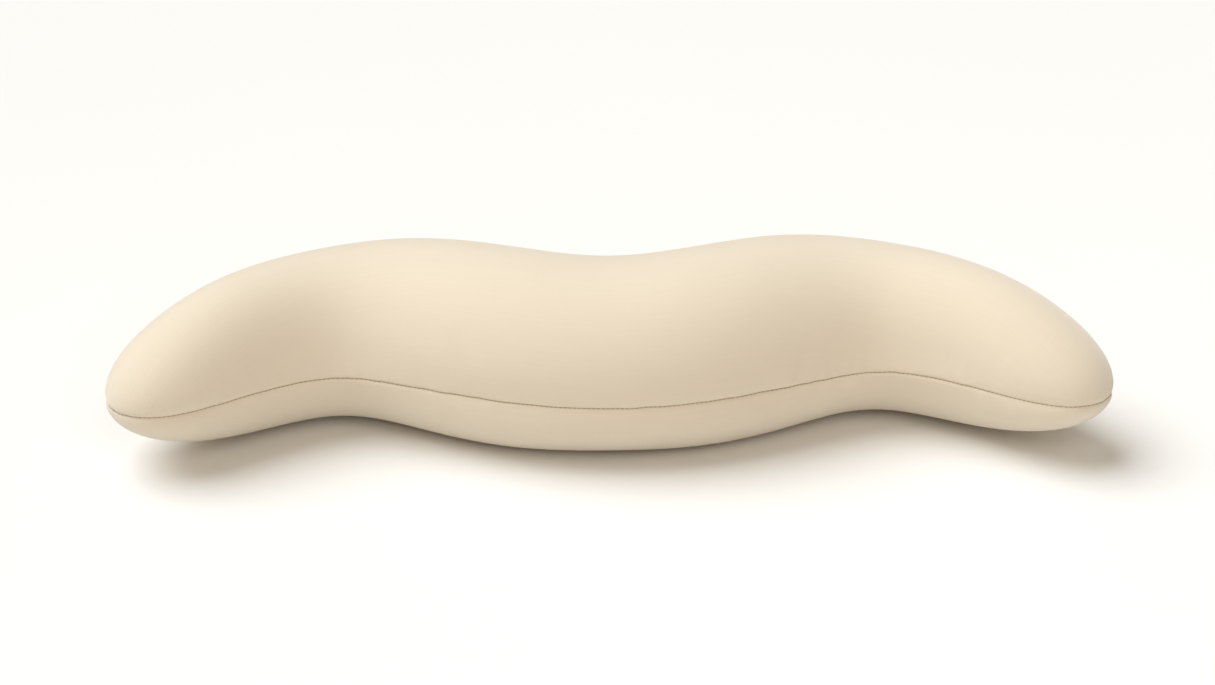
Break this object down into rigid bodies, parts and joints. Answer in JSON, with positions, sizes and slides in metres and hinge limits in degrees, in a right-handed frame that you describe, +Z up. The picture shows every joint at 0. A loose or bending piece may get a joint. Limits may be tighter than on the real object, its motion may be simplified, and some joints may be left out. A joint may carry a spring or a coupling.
{
  "type": "lumbar support cushion",
  "caption": "Long wavy lumbar roll: a stuffed knitted cover, sewn round its waist and closed by a zip at the back, over a lined foam core.",
  "frame": {"origin": "middle of the footprint of the cushion's box, on the face it rests on", "axes": "+X along the cushion, -Y to its front, where the middle bows out and both tips come forward, +Z up"},
  "size_m": [0.6204, 0.1508, 0.1195],
  "materials": {
    "cover_knit": "matt fine knit",
    "seam_thread": "spun sewing thread",
    "label_satin": "satin",
    "liner_cloth": "matt woven",
    "core_foam": "open-cell foam, matt",
    "zip_tape": "woven tape",
    "zip_coil": "satin nylon",
    "zip_metal": "lacquered"
  },
  "bodies": {
    "cushion": {"cover_top_panel": "cover_knit", "cover_bottom_panel": "cover_knit", "cover_seam_thread": "seam_thread", "care_label": "label_satin", "liner_top_panel": "liner_cloth", "liner_bottom_panel": "liner_cloth", "liner_seam_thread": "seam_thread", "foam_core": "core_foam", "zip_tape_upper": "zip_tape", "zip_tape_lower": "zip_tape", "zip_coil_upper": "zip_coil", "zip_coil_lower": "zip_coil", "zip_top_stop_upper": "zip_metal", "zip_top_stop_lower": "zip_metal", "zip_bottom_stop": "zip_metal"},
    "slider": {"zip_slider": "zip_metal"},
    "pull_tab": {"zip_pull_tab": "zip_metal"}
  },
  "joints": [
    {"name": "zip_travel", "type": "hinge", "parent": "cushion", "child": "slider", "pos_m": [0.13287, -0.0883, 0.049], "axis": [0, 0, 1], "range_deg": [0, 50.9], "deforming": ["zip_coil_upper", "zip_coil_lower"]},
    {"name": "pull_swing", "type": "hinge", "parent": "slider", "child": "pull_tab", "pos_m": [0.22589, 0.04825, 0.049], "axis": [0, 0, 1], "range_deg": [-165, 0]}
  ]
}
